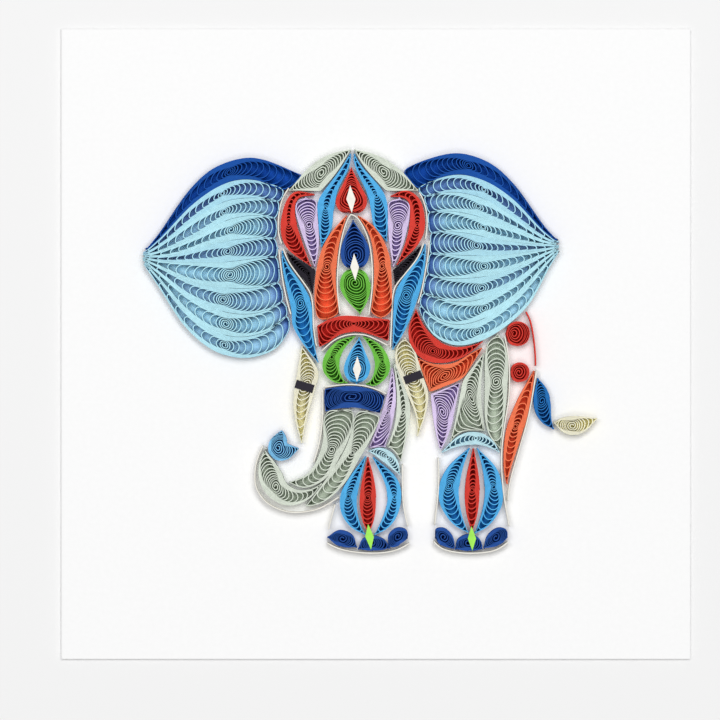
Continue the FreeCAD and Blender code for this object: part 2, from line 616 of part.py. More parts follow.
# The lower round coil rests against the leg's edging and grows away from it
save("rump_coils", [
    round_coil((34.4, 2.5), rump_coil_radius, (33.6, 2.7)),
    round_coil((32.45 + tail_coil_radius, -6.8), tail_coil_radius, (32.35 + tail_coil_radius, -7)),
])
save("hind_leg_drop", [
    leaf((38.5, -5.9), [(35.8, -10.7), (33.3, -15.7), (31.6, -20.8), (31, -26), (31.1, -31)],
         [(37.9, -11.5), (36.6, -17.5), (34.9, -23.5), (32.9, -29.5)], (31.8, -34.4), (33.4, -20.8), 4),
])
save("tail_leaf", [
    leaf((39.2, -8.2), [(38.3, -12), (38.7, -16.6), (40.8, -19.4)], [(41.4, -11), (42.5, -15), (42.6, -18.7)],
         (43.1, -20.6), (40.1, -14.2)),
])
save("tail_tuft", [
    leaf((43.2, -19), [(45, -17.9), (48.5, -17.4), (51.5, -17.6)], [(45, -21), (48, -22), (51.3, -20.6)],
         (53.6, -18), (47.9, -19.5)),
])

# Ears: seams run from the ear's tip to the head, from the top edge down
left_ear = ear((-57.3, 21.1), [
    [(-52.8, 26), (-50, 30), (-46.3, 35.4), (-41.5, 40.8), (-36, 43.9), (-30, 45), (-24, 43.6), (-17.6, 40.7)],
    [(-52, 25.5), (-48, 30), (-44, 33.8), (-40, 36.8), (-35, 39.2), (-30, 39.7), (-26, 38.7), (-22.3, 37.3)],
    [(-51.8, 24), (-48, 26.9), (-45, 29.2), (-42, 31.3), (-38, 33.7), (-33, 35.1), (-28, 35.2), (-23.5, 34.4)],
    [(-51.2, 22.6), (-47, 24.4), (-43.5, 25.9), (-40, 27.7), (-36.5, 29.6), (-32, 30.8), (-27.5, 31), (-24.3, 30.4)],
    [(-51, 21.3), (-47, 21.9), (-43.5, 22.9), (-40, 24), (-36.5, 24.8), (-32, 25.3), (-27.5, 25.7), (-24.4, 25.5)],
    [(-51.3, 20), (-47, 19.8), (-43, 19.7), (-39, 19.7), (-35, 19.9), (-31, 20.4), (-27, 20.9), (-24, 21)],
    [(-51.6, 18.4), (-49, 17.1), (-45.5, 15.5), (-42, 14.5), (-38, 13.8), (-33, 13.4), (-28, 13.7), (-23.5, 14.8)],
    [(-52, 17), (-49.5, 14.7), (-46.5, 12.4), (-43, 10.3), (-39, 8.5), (-34, 7.3), (-28.5, 7.5), (-22.5, 10.3)],
    [(-52.4, 15.9), (-49.8, 12.8), (-47, 9.3), (-43.5, 6), (-39, 3.1), (-33, 1.7), (-27, 2.8), (-21.4, 6.8)],
    [(-53, 14.9), (-50, 10.6), (-47, 5.8), (-43, 1.1), (-38, -2), (-31, -3.4), (-25, -1.7), (-20.9, 3.2)],
], [(-35.2, 41.4), (-37.3, 35.6), (-36.6, 31.4), (-35.1, 26.9), (-35.8, 22), (-35, 16.5), (-36.6, 10.6), (-36.5, 4.5),
    (-36.1, -0.3)])
right_ear = ear((45.7, 23.9), [
    [(41.4, 27.8), (38, 32.4), (34, 38), (29.5, 42.5), (24.5, 45.2), (19, 46.1), (13, 44.7), (6.9, 41.7)],
    [(41, 26.9), (37.5, 30.6), (34, 34.3), (30, 37.4), (25, 40), (20, 40.9), (15, 39.9), (10.5, 37.7)],
    [(40.6, 25.8), (37, 28.2), (33.5, 30.5), (30, 33), (26.5, 34.9), (22, 36.3), (17, 36.6), (11.9, 35.6)],
    [(40.4, 24.9), (36.8, 26.5), (33.2, 27.9), (29.5, 29.3), (25.5, 30.6), (21, 31.7), (16.5, 32.1), (12.9, 31.7)],
    [(40.3, 24), (36.5, 24.4), (33, 24.8), (29.5, 25.2), (25.5, 26.1), (21, 26.9), (17, 27.1), (13.4, 26.9)],
    [(40.6, 22.8), (37.5, 22.4), (34, 21.9), (30, 21.5), (26, 21.3), (21.5, 21.4), (17, 21.6), (13.4, 21.9)],
    [(40.9, 21.7), (38, 20.2), (34.5, 18.7), (31, 17.5), (27, 16.4), (23, 15.9), (18, 15.8), (12.7, 16.9)],
    [(41.3, 20.8), (38, 17.9), (34.5, 15.3), (30.5, 13), (26.5, 11.2), (22, 10.2), (17, 10.6), (11.7, 12.3)],
    [(41.9, 20.1), (38.5, 16), (35, 12.3), (31, 9), (26.5, 6.3), (21, 4.7), (16, 5.5), (10.9, 9.4)],
    [(42.4, 19.2), (40, 14.9), (37, 9.6), (33, 5.6), (28, 2.1), (22, -0.4), (15, 1.4), (11.1, 6.8)],
], [(22.8, 43), (26.1, 37.1), (24.8, 33.2), (25.8, 28.2), (24.3, 23.6), (26.4, 18.4), (25.9, 13), (26.6, 8.1),
    (25, 3.2)])
for side, coils in (("left", left_ear), ("right", right_ear)):
    save(side + "_ear_crest", coils[:1])
    for number, lobe in enumerate(coils[1:], 1):
        save(side + "_ear_lobe_" + str(number), [lobe])

# Flat cut paper on top of the coils
save("white_diamonds", [
    diamond((-5.9, 35), 2.2, 6.7, 0.2),
    diamond((-5, 18.6), 2.1, 6.6, 0.15),
    diamond((-4.4, -6), 2, 6.2, -0.05),
])
save("green_diamonds", [
    diamond((-1.4, -46.5), 2.1, 6.2, 0.35),
    diamond((23.3, -46.9), 2, 5.9, 0.1),
])
save("tusk_bands", [
    tusk_band((-17.1, -10.2), -17),
    tusk_band((9.1, -8), 21),
])
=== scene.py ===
"""Looks of the quilled elephant card: fine paper coils, paper, card and light."""
import itertools
import math

import bpy
import numpy as np
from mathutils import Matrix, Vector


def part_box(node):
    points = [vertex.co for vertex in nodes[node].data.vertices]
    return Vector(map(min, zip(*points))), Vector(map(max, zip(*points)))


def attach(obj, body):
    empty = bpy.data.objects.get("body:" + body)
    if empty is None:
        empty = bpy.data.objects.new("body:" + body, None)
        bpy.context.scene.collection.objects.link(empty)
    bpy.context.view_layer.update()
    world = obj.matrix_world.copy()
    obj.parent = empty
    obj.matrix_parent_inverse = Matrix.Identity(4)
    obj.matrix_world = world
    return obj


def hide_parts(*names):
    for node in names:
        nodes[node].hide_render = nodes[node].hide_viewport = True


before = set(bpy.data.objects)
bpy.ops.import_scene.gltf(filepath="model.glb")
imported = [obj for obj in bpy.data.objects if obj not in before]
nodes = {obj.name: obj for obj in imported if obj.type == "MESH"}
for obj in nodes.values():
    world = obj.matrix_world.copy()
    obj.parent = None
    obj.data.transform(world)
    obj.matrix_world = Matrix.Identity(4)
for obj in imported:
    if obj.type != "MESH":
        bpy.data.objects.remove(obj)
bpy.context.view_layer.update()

# The card: one sheet of smooth white card, cut twice as wide as it is tall
# and folded once at its left edge. It lies closed with the picture glued to
# its front leaf.


def link(tree, source, target):
    """Joins an output to an input in a node tree."""
    tree.links.new(source, target)


def add(tree, kind, **values):
    """Adds a shader node. Each value goes to the input of that name, its underscores read as spaces."""
    made = tree.nodes.new(kind)
    for name, value in values.items():
        made.inputs[name.replace("_", " ")].default_value = value
    return made


def paper_fibres():
    """Shader group of dyed paper, which gives its colour and the height of its fibres.

    The colour is the dye times one plus a share of the clouds, a noise of
    about a millimetre. A face that is level and near the tops of the strips
    is a cut edge and takes the edge's colour: the mask is how level it is
    times how near the top it lies. The fibres are a noise of a tenth of a
    millimetre, drawn out to one side.
    """
    group = bpy.data.node_groups.new("paper_fibres", "ShaderNodeTree")
    for name, way, kind in (
            ("Color", "INPUT", "NodeSocketColor"), ("Edge Color", "INPUT", "NodeSocketColor"),
            ("Clouds", "INPUT", "NodeSocketFloat"), ("Color", "OUTPUT", "NodeSocketColor"),
            ("Height", "OUTPUT", "NodeSocketFloat")):
        group.interface.new_socket(name, in_out=way, socket_type=kind)
    into = group.nodes.new("NodeGroupInput")
    out = group.nodes.new("NodeGroupOutput")
    place = add(group, "ShaderNodeTexCoord")
    clouds = add(group, "ShaderNodeTexNoise", Scale=900, Detail=3)
    stretch = add(group, "ShaderNodeMapping", Scale=(1, 0.35, 0.6))
    fibres = add(group, "ShaderNodeTexNoise", Scale=9000, Detail=4)
    shade = add(group, "ShaderNodeMapRange", From_Min=0.3, From_Max=0.7, To_Min=-0.08, To_Max=0.04)
    amount = add(group, "ShaderNodeMath")
    amount.operation = "MULTIPLY_ADD"
    amount.inputs[2].default_value = 1
    facing = add(group, "ShaderNodeNewGeometry")
    facing_parts = add(group, "ShaderNodeSeparateXYZ")
    level = add(group, "ShaderNodeMapRange", From_Min=0.4, From_Max=0.9)
    place_parts = add(group, "ShaderNodeSeparateXYZ")
    near_top = add(group, "ShaderNodeMapRange", From_Min=0.003, From_Max=0.0038)
    cut_edge = add(group, "ShaderNodeMath")
    cut_edge.operation = "MULTIPLY"
    dye = add(group, "ShaderNodeMix")
    dye.data_type = "RGBA"
    tint = add(group, "ShaderNodeVectorMath")
    tint.operation = "SCALE"
    link(group, place.outputs["Object"], clouds.inputs["Vector"])
    link(group, place.outputs["Object"], stretch.inputs["Vector"])
    link(group, stretch.outputs["Vector"], fibres.inputs["Vector"])
    link(group, fibres.outputs["Fac"], out.inputs["Height"])
    link(group, facing.outputs["Normal"], facing_parts.inputs["Vector"])
    link(group, facing_parts.outputs["Z"], level.inputs["Value"])
    link(group, place.outputs["Object"], place_parts.inputs["Vector"])
    link(group, place_parts.outputs["Z"], near_top.inputs["Value"])
    link(group, level.outputs["Result"], cut_edge.inputs[0])
    link(group, near_top.outputs["Result"], cut_edge.inputs[1])
    link(group, cut_edge.outputs["Value"], dye.inputs["Factor"])
    link(group, into.outputs["Color"], dye.inputs["A"])
    link(group, into.outputs["Edge Color"], dye.inputs["B"])
    link(group, clouds.outputs["Fac"], shade.inputs["Value"])
    link(group, shade.outputs["Result"], amount.inputs[0])
    link(group, into.outputs["Clouds"], amount.inputs[1])
    link(group, dye.outputs["Result"], tint.inputs[0])
    link(group, amount.outputs["Value"], tint.inputs["Scale"])
    link(group, tint.outputs["Vector"], out.inputs["Color"])
    return group


fibre_group = paper_fibres()


def linear(colour):
    """Linear value of a colour written as 0 to 255: ((c + 0.055) / 1.055) ^ 2.4, or c / 12.92 where it is dark."""
    share = np.array(colour) / 255
    value = np.where(share <= 0.04045, share / 12.92, ((share + 0.055) / 1.055) ** 2.4)
    return (*value.tolist(), 1)


def paper_material(name, face, edge, clouds=1.0, through=0.35):
    """Matt paper of one dye, from the colours of its faces and of its cut edges.

    An upright face lets a share of the light through, which falls to none as
    the face turns level: share x (1 - how level it is).
    """
    material = bpy.data.materials.new(name)
    material.use_nodes = True
    tree = material.node_tree
    shader = tree.nodes["Principled BSDF"]
    shader.inputs["Roughness"].default_value = 0.8
    shader.inputs["Specular IOR Level"].default_value = 0.25
    fibres = tree.nodes.new("ShaderNodeGroup")
    fibres.node_tree = fibre_group
    fibres.inputs["Color"].default_value = linear(face)
    fibres.inputs["Edge Color"].default_value = linear(edge)
    fibres.inputs["Clouds"].default_value = clouds
    relief = add(tree, "ShaderNodeBump", Strength=0.25, Distance=0.00004)
    link(tree, fibres.outputs["Color"], shader.inputs["Base Color"])
    link(tree, fibres.outputs["Height"], relief.inputs["Height"])
    link(tree, relief.outputs["Normal"], shader.inputs["Normal"])
    if not through:
        return material
    facing = add(tree, "ShaderNodeNewGeometry")
    facing_parts = add(tree, "ShaderNodeSeparateXYZ")
    upright = add(tree, "ShaderNodeMapRange", From_Min=0.4, From_Max=0.9, To_Min=through, To_Max=0)
    glow = add(tree, "ShaderNodeBsdfTranslucent")
    both = add(tree, "ShaderNodeMixShader")
    link(tree, facing.outputs["Normal"], facing_parts.inputs["Vector"])
    link(tree, facing_parts.outputs["Z"], upright.inputs["Value"])
    link(tree, upright.outputs["Result"], both.inputs["Fac"])
    link(tree, fibres.outputs["Color"], glow.inputs["Color"])
    link(tree, shader.outputs["BSDF"], both.inputs[1])
    link(tree, glow.outputs["BSDF"], both.inputs[2])
    link(tree, both.outputs["Shader"], tree.nodes["Material Output"].inputs["Surface"])
    return material


def dress(node, material):
    """Gives a solid of the frame its paper."""
    nodes[node].data.materials.clear()
    nodes[node].data.materials.append(material)


card_white = paper_material("card_white", (241, 241, 241), (241, 241, 241), clouds=0.15, through=0)
dress("folded_card", card_white)
card_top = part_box("folded_card")[1].z

# The ears: a navy crest and eight pale blue lobes to each. Every coil is one
# strip of thin dyed paper, rolled up, let loose, pinched at its ends and
# glued down on edge, so that its cut edge shows.


def undersides(piece):
    """Closed outlines of the undersides of a node's solids, in metres.

    They run along the sides of the lowest triangles that no two share.
    """
    mesh = piece.data
    mesh.calc_loop_triangles()
    points = np.zeros(len(mesh.vertices) * 3)
    mesh.vertices.foreach_get("co", points)
    corners = np.zeros(len(mesh.loop_triangles) * 3, int)
    mesh.loop_triangles.foreach_get("vertices", corners)
    keys, merged = np.unique(np.round(points.reshape(-1, 3), 7), axis=0, return_inverse=True)
    corners = merged.reshape(-1)[corners].reshape(-1, 3)
    low = keys[:, 2] < keys[:, 2].min() + 1e-6
    flat = corners[low[corners].all(1)]
    sides = np.concatenate([flat[:, [0, 1]], flat[:, [1, 2]], flat[:, [2, 0]]])
    both = {tuple(side) for side in sides.tolist()}
    following = {a: b for a, b in both if (b, a) not in both}
    outlines = []
    while following:
        start, here = following.popitem()
        outline = [start]
        while here != start:
            outline.append(here)
            here = following.pop(here)
        outlines.append(keys[outline][:, :2])
    outlines.sort(key=lambda outline: (outline[:, 0].min(), outline[:, 1].min()))
    return outlines


def centre_line(outline):
    """Middle of a strip's underside, from one of its ends to the other.

    The ends are the two opposite sides of the outline that stand most nearly
    square on both of their neighbours. Each point is half way between the
    two corners that lie equally far from an end.
    """
    count = len(outline) // 2
    ways = np.roll(outline, -1, 0) - outline
    ways /= np.linalg.norm(ways, axis=1)[:, None]
    slant = np.abs((ways * np.roll(ways, 1, 0)).sum(1)) + np.abs((ways * np.roll(ways, -1, 0)).sum(1))
    end = int(np.argmin(slant[:count] + slant[count:]))
    turned = np.roll(outline, -end - 1, 0)
    return (turned[:count] + turned[:count - 1:-1]) / 2


def smooth_path(points, corner_angle, steps=14):
    """Smooth curve through points, parted at corners sharper than an angle in degrees.

    Between two points it is the cubic that leaves and meets them along their
    tangents. A tangent is the slope before the point plus the slope after it,
    less the slope across both, with distances taken as their square roots.
    Also gives the index of each point on the curve.
    """
    ways = np.diff(points, axis=0)
    ways /= np.linalg.norm(ways, axis=1)[:, None]
    turns = np.degrees(np.arccos(np.clip((ways[:-1] * ways[1:]).sum(1), -1, 1)))
    stops = [0] + (np.nonzero(turns > corner_angle)[0] + 1).tolist() + [len(points) - 1]
    share = np.linspace(0, 1, steps + 1)[1:, None]
    curve = [points[:1]]
    for start, stop in zip(stops, stops[1:]):
        span = points[start:stop + 1]
        first = 2 * span[0] - span[1]
        last = 2 * span[-1] - span[-2]
        if len(span) > 2:
            first = first + (span[0] - 2 * span[1] + span[2]) * 0.5
            last = last + (span[-1] - 2 * span[-2] + span[-3]) * 0.5
        padded = np.vstack([first, span, last])
        gaps = np.sqrt(np.linalg.norm(np.diff(padded, axis=0), axis=1))[:, None]
        slopes = np.diff(padded, axis=0) / gaps
        tangents = slopes[:-1] + slopes[1:] - (padded[2:] - padded[:-2]) / (gaps[:-1] + gaps[1:])
        width = gaps[1:-1, None]
        stretch = (
            (2 * share ** 3 - 3 * share ** 2 + 1) * span[:-1, None]
            + (share ** 3 - 2 * share ** 2 + share) * width * tangents[:-1, None]
            + (3 * share ** 2 - 2 * share ** 3) * span[1:, None]
            + (share ** 3 - share ** 2) * width * tangents[1:, None])
        curve.append(stretch.reshape(-1, 2))
    return np.concatenate(curve), [stop * steps for stop in range(len(points))]


def even(path, count):
    """The same path with points at equal distances."""
    reach = np.concatenate([[0], np.cumsum(np.linalg.norm(np.diff(path, axis=0), axis=1))])
    at = np.linspace(0, reach[-1], count)
    return np.stack([np.interp(at, reach, path[:, i]) for i in (0, 1)], 1)


def area(loop):
    """Area of a closed loop: half the sum of the cross products of its corners."""
    after = np.roll(loop, -1, 0)
    return abs((loop[:, 0] * after[:, 1] - after[:, 0] * loop[:, 1]).sum()) / 2


side_points = 600
base_step = 13


def coil_sides(centre, outer_count, corner_angle, tip_reach):
    """Middle line of a coil, the way across it, its half width and its two long sides.

    The outer turn of the solid starts half way along a side, so the coil's
    tip is a quarter of its corners on, and its far end half of them after
    that. The two sides are read off as pairs of points, tip to end. The
    middle is their mean and the half width half their distance. Pointed
    ends are drawn out by a reach.
    """
    to_tip = outer_count // 4
    loop = np.vstack([np.roll(centre[:outer_count], -to_tip, 0), centre[to_tip]])
    curve, places = smooth_path(loop, corner_angle)
    far = places[outer_count // 2]
    side_1 = even(curve[:far + 1], side_points)
    side_2 = even(curve[far:][::-1], side_points)
    middle = (side_1 + side_2) / 2
    across = side_1 - side_2
    half = np.linalg.norm(across, axis=1) / 2
    direction = across / np.maximum(2 * half, 1e-6)[:, None]
    direction[0], direction[-1] = direction[1], direction[-2]
    if tip_reach:
        tip, end = (
            middle[k] + (middle[k] - middle[n]) / np.linalg.norm(middle[k] - middle[n]) * tip_reach
            for k, n in ((0, 12), (-1, -13)))
        middle, side_1, side_2 = (np.vstack([tip, line, end]) for line in (middle, side_1, side_2))
        direction = np.vstack([direction[:1], direction, direction[-1:]])
        half = np.concatenate([[0], half, [0]])
    return middle, direction, half, np.stack([side_1, side_2])


def eye_index(middle, along, centre, inner_count):
    """Index of the place on a coil's middle line that is nearest to its eye.

    The last turn of the solid has three corners, one where the turn starts
    and two at three quarters of its length. The eye stands at the same share
    of that turn as of the coil. Where the solid has only four inner corners,
    it is the mean of the last three.
    """
    free = slice(30, -30)
    eye = centre[-3:].mean(0)
    found = int(np.argmin(np.linalg.norm(middle[free] - eye, axis=1))) + free.start
    if inner_count > 4:
        share = along[found] / along[-1] / 0.75
        eye = centre[-3] + (centre[-2:].mean(0) - centre[-3]) * share
        found = int(np.argmin(np.linalg.norm(middle[free] - eye, axis=1))) + free.start
    return found


# The paper, pressed and loose, and the share of the way to the next turn that
# a cut edge takes up, since its fibres spread.
sheet = 0.00012
loose_sheet = 0.00021
edge_share = 0.42

# The bunched turns: how far they swell past the outline, their pitch, their
# slack, the turns that keep to the outline, and how fast they fan out.
margin = 0.00008
bunched_pitch = 0.00013
bunched_slack = 0.00006
outline_turns = 0.8
fan_power = 1.45
lingering = 0.3
unevenness = 0.03

# The swirl: its eye, its least radius and its fewest turns.
eye_radius = 0.00018
least_swirl = 0.00032
least_swirl_turns = 1.3

# How far from its end at the head a lobe starts to deepen in colour, and how
# many places are worked out in a turn.
head_reach = 0.0043
samples = 240


def strip_room(path):
    """Thickness of the strip at each place: a share of its distance from the next turn, within the paper's two."""
    ways = np.gradient(path, axis=0)
    ways /= np.maximum(np.linalg.norm(ways, axis=1), 1e-9)[:, None]
    room = np.full(len(path), loose_sheet)
    step = path[samples:] - path[:-samples]
    for here in (slice(samples, None), slice(None, -samples)):
        distance = np.abs(ways[here, 0] * step[:, 1] - ways[here, 1] * step[:, 0])
        room[here] = np.minimum(room[here], distance * edge_share)
    return np.clip(room, sheet, loose_sheet)


def thinned(path, turn=0.13, way=0.0025):
    """Places to keep on a path: one for each share of a turn, in radians, or of a way along it."""
    steps = np.diff(path, axis=0)
    heading = np.unwrap(np.arctan2(steps[:, 1], steps[:, 0]))
    bends = np.abs(np.diff(heading, prepend=heading[0]))
    measure = np.concatenate([[0], np.cumsum(bends / turn + np.linalg.norm(steps, axis=1) / way)])
    return np.interp(np.arange(int(measure[-1]) + 1) * measure[-1] / int(measure[-1]), measure, np.arange(len(path)))


def fine_coil(centre, inner_count, fanned, swirl_gap, stretch, seed, corner_angle, tip_reach, eye_shift):
    """Path of one coil's strip with its full number of turns, from its outline to its eye.

    A place in the coil is a distance along its middle line and an offset
    from it. After x turns the strip lies d inside the outline: d grows by the
    bunched pitch a turn for m turns, then by the swirl's gap. With H the half
    width at the eye, L the way from the eye to an end of the coil and B the
    stretched half width, the turn reaches B (1 - d / H) + (L - B) f towards
    that end, where f = (1 - x / m) ^ p falls from one to none. Along its
    sides it lies at the coil's half width less d, and a quarter of an
    ellipse closes it at each end. A seeded wobble of a few hundredths
    makes the turns uneven.

    Also gives the strip's thickness and its nearness to the far end at each
    point, the coil's two sides and their nearness: 1 + (place - length) /
    head reach, from 0 to 1.
    """
    outer_count = len(centre) - inner_count - 1
    if area(centre[:outer_count]) < area(centre[::-1][:outer_count]):
        centre = centre[::-1]
    middle, direction, half, sides = coil_sides(centre, outer_count, corner_angle, tip_reach)
    along = np.concatenate([[0], np.cumsum(np.linalg.norm(np.diff(middle, axis=0), axis=1))])
    length = along[-1]
    start = along[eye_index(middle, along, centre, inner_count)] + eye_shift
    half_eye = np.interp(start, along, half)

    swirl_radius = max(half_eye - fanned * bunched_pitch, least_swirl)
    turns = fanned + max(least_swirl_turns, (swirl_radius - eye_radius) / swirl_gap)
    wound = np.linspace(0, turns, int(turns * samples))
    phase = -math.pi / 2 - 2 * math.pi * wound
    phase -= lingering * np.sin(2 * phase)
    inside = np.interp(wound, [0, fanned, turns], [0, half_eye - swirl_radius, half_eye - eye_radius])
    fan = np.clip(1 - (wound - outline_turns) / (fanned - outline_turns), 0, 1) ** fan_power
    wobble = np.interp(wound, np.arange(0, 60, 0.5), np.random.default_rng(seed).uniform(-1, 1, 120))
    to_end = np.where(np.cos(phase) > 0, length - start, start)
    beside = np.minimum(half_eye * stretch, to_end)
    reach = beside * (1 - inside / half_eye) + (to_end - beside) * fan
    reach = reach * (1 + unevenness * wobble * (1 - fan) * fan * 4) + margin * fan

    place = start + reach * np.cos(phase)
    beside_middle = np.maximum(np.interp(place, along, half) - inside + margin, 0.00004)
    end_place = start + reach * np.sign(np.cos(phase))
    end_length = np.maximum(np.interp(end_place, along, half) - inside, 0.00005)
    into_end = np.clip(reach * (1 - np.abs(np.cos(phase))) / end_length, 0, 1)
    closing = np.sqrt(1 - (1 - into_end) ** 2)
    offset = (beside_middle + bunched_slack * fan) * closing * np.sign(np.sin(phase))
    path = np.stack([
        np.interp(place, along, middle[:, i]) + offset * np.interp(place, along, direction[:, i]) for i in (0, 1)], 1)

    kept = thinned(path)
    order = np.arange(len(path))
    room = np.interp(kept, order, strip_room(path))
    near_end = np.interp(kept, order, np.clip((place - length) / head_reach + 1, 0, 1))
    path = np.stack([np.interp(kept, order, path[:, i]) for i in (0, 1)], 1)
    base_near = np.clip((along[1:-1:base_step] - length) / head_reach + 1, 0, 1)
    return path, room, near_end, sides[:, 1:-1:base_step], base_near


def band_mesh(left, right, bottom, top):
    """Corners and faces of a solid band: a rectangle carried along two lines, and closed at both ends."""
    count = len(left)
    corners = np.zeros((count, 4, 3))
    corners[:, 0, :2] = corners[:, 3, :2] = left
    corners[:, 1, :2] = corners[:, 2, :2] = right
    corners[:, :2, 2] = bottom
    corners[:, 2:, 2] = top
    here = np.arange(count - 1)[:, None] * 4
    faces = np.concatenate([
        np.hstack([here + a, here + b, here + 4 + b, here + 4 + a]) for a, b in ((0, 1), (1, 2), (2, 3), (3, 0))])
    last = 4 * (count - 1)
    ends = np.array([[0, 3, 2, 1], [last, last + 1, last + 2, last + 3]])
    return corners.reshape(-1, 3), np.vstack([faces, ends])


def strip_mesh(path, bottom, top, thickness):
    """Corners and faces of a strip that stands on edge: a band half its thickness to each side of a path."""
    way = np.gradient(path, axis=0)
    way /= np.maximum(np.linalg.norm(way, axis=1), 1e-9)[:, None]
    side = np.stack([-way[:, 1], way[:, 0]], 1) * np.reshape(thickness, (-1, 1)) / 2
    return band_mesh(path + side, path - side, bottom, top)


def paper_piece(node, ending, parts, material):
    """One object from the corners and four-cornered faces of several parts, in the place of a node's solids."""
    starts = np.cumsum([0] + [len(corners) for corners, _faces in parts])
    corners = np.vstack([corners for corners, _faces in parts])
    faces = np.vstack([faces + start for (_corners, faces), start in zip(parts, starts)])
    mesh = bpy.data.meshes.new(node + ending)
    mesh.vertices.add(len(corners))
    mesh.vertices.foreach_set("co", corners.ravel())
    mesh.loops.add(faces.size)
    mesh.loops.foreach_set("vertex_index", faces.ravel())
    mesh.polygons.add(len(faces))
    mesh.polygons.foreach_set("loop_start", np.arange(0, faces.size, 4))
    mesh.update(calc_edges=True)
    mesh.validate()
    mesh.materials.append(material)
    piece = bpy.data.objects.new(node + ending, mesh)
    bpy.context.scene.collection.objects.link(piece)
    dress(node, material)
    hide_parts(node)
    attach(piece, "root")
    return piece


def first_is_left(lines):
    """Whether the first of two lines lies to the left of the second: their way crossed with the way between them."""
    way = lines[:, -1].mean(0) - lines[:, 0].mean(0)
    across = lines[0].mean(0) - lines[1].mean(0)
    return way[0] * across[1] - way[1] * across[0] >= 0


base_height = 0.00003
tip_point = 0.0003
coil_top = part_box("brows")[1].z
draws = itertools.count(1)


def quill(node, material, fanned, swirl_gap, stretch=1.3, square=False, blunt=False, inner_count=7, eye_shift=0,
          depth=0, deep_at_end=False):
    """Winds the fine coils of a node and lays a dyed base under each.

    The numbers are its bunched turns, the gap in its swirl and how much
    longer than wide the swirl is. Square coils keep their corners, and blunt
    ones aren't drawn out at their ends. The depth of the colour goes to the
    mesh: a plain depth, or where it is deep at the end, the larger of that
    and the nearness to the coil's far end. On the ear lobes the plain depth
    is painted shade, which darkens whole lobes; on the trunk tip it is the
    coil's own deeper blue.
    """
    parts = []
    depths = []
    for outline in undersides(nodes[node]):
        path, room, near_end, base, base_near = fine_coil(
            centre_line(outline), inner_count, fanned, swirl_gap, stretch, next(draws),
            50 if square else 105, 0 if blunt else tip_point, eye_shift)
        left, right = base if first_is_left(base) else base[::-1]
        parts.append(strip_mesh(path, card_top, coil_top, room))
        parts.append(band_mesh(left, right, card_top, card_top + base_height))
        depths += [np.repeat(near_end, 4), np.repeat(base_near, 4)]
    piece = paper_piece(node, "_turns", parts, material)
    found = np.concatenate(depths) if deep_at_end else np.zeros(len(piece.data.vertices))
    piece.data.attributes.new("depth", "FLOAT", "POINT").data.foreach_set("value", np.maximum(found, depth))


def graded(material, face_end, edge_end):
    """Grades a paper's colours towards two others: colour + (end - colour) x the mesh's depth."""
    tree = material.node_tree
    fibres = next(node for node in tree.nodes if node.type == "GROUP")
    near = tree.nodes.new("ShaderNodeAttribute")
    near.attribute_name = "depth"
    for socket, end_colour in (("Color", face_end), ("Edge Color", edge_end)):
        grade = tree.nodes.new("ShaderNodeMix")
        grade.data_type = "RGBA"
        grade.inputs["A"].default_value = fibres.inputs[socket].default_value
        grade.inputs["B"].default_value = linear(end_colour)
        link(tree, near.outputs["Fac"], grade.inputs["Factor"])
        link(tree, grade.outputs["Result"], fibres.inputs[socket])


ear_gap = 0.0004
ear_eye_shift = 0.0006
lobe_turns = {"left": (12, 12, 12, 12, 11, 11, 10, 10), "right": (12,) * 8}
# Painted shade of each ear lobe: the share by which its paper is graded towards deep blue all over, darkening whole
# lobes as if they lay in shade.
lobe_painted_shade = {"left": (0.6, 0.12, 0, 0.3, 0, 0.15, 0, 0.1), "right": (0.6, 0.12, 0, 0.3, 0, 0.15, 0, 0)}
navy = paper_material("paper_navy", (10, 88, 194), (22, 84, 170))
ear_blue = paper_material("paper_ear_blue", (186, 232, 248), (192, 243, 255), through=0.5)
# Deep blue that the lobes' paper is graded towards: over whole lobes as painted shade, and towards each lobe's end at
# the head.
graded(ear_blue, (16, 100, 212), (178, 234, 252))
for side in ("left", "right"):
    quill(f"{side}_ear_crest", navy, 12, ear_gap, eye_shift=ear_eye_shift)
for side in ("left", "right"):
    for number, (turns, depth) in enumerate(zip(lobe_turns[side], lobe_painted_shade[side]), 1):
        # Each lobe gets its painted shade as a plain depth of colour.
        quill(f"{side}_ear_lobe_{number}", ear_blue, turns, ear_gap, eye_shift=ear_eye_shift, depth=depth,
              deep_at_end=True)

# The middle of the forehead: heart-shaped and drop-shaped coils of red, dark
# blue and green paper stand one above the other on the elephant's middle
# line, with two long blue petals that meet at the crown beside them.
red = paper_material("paper_red", (224, 44, 36), (228, 68, 56))
dark_blue = paper_material("paper_dark_blue", (16, 66, 158), (40, 88, 170))
green = paper_material("paper_green", (96, 186, 52), (120, 204, 76))
blue = paper_material("paper_blue", (40, 150, 225), (90, 188, 246))
quill("crown_drop", red, 7, 0.0006)
quill("forehead_drop", dark_blue, 7, 0.0006)
quill("nose_drop", green, 7, 0.00055)
quill("forehead_petals", blue, 12, 0.00036)

# The temples, brows and eyes: lilac drops with a red crescent curled round
# each, grey leaves over them for brows, and small black coils pinched to
# slanting eyes.
lilac = paper_material("paper_lilac", (214, 192, 242), (232, 214, 250))
grey = paper_material("paper_grey", (218, 228, 212), (226, 234, 220))
black = paper_material("paper_black", (24, 20, 30), (40, 36, 46))
quill("temple_drops", lilac, 9, 0.00042)
quill("temple_crescents", red, 12, 0.00036)
quill("brows", grey, 10, 0.00045, stretch=1.6, square=True)
quill("eyes", black, 9, 0.00036, square=True, inner_count=4)

# The face below the eyes: two tall orange coils beside the middle, long blue
# cheeks outside them, and a red coil pressed to a curved band across the
# nose.
orange = paper_material("paper_orange", (254, 110, 66), (255, 130, 88))
quill("face_panels", orange, 10, 0.00038)
quill("nose_band", red, 11, 0.0004, stretch=1.8, square=True, blunt=True)
quill("cheeks", blue, 10, 0.0004)

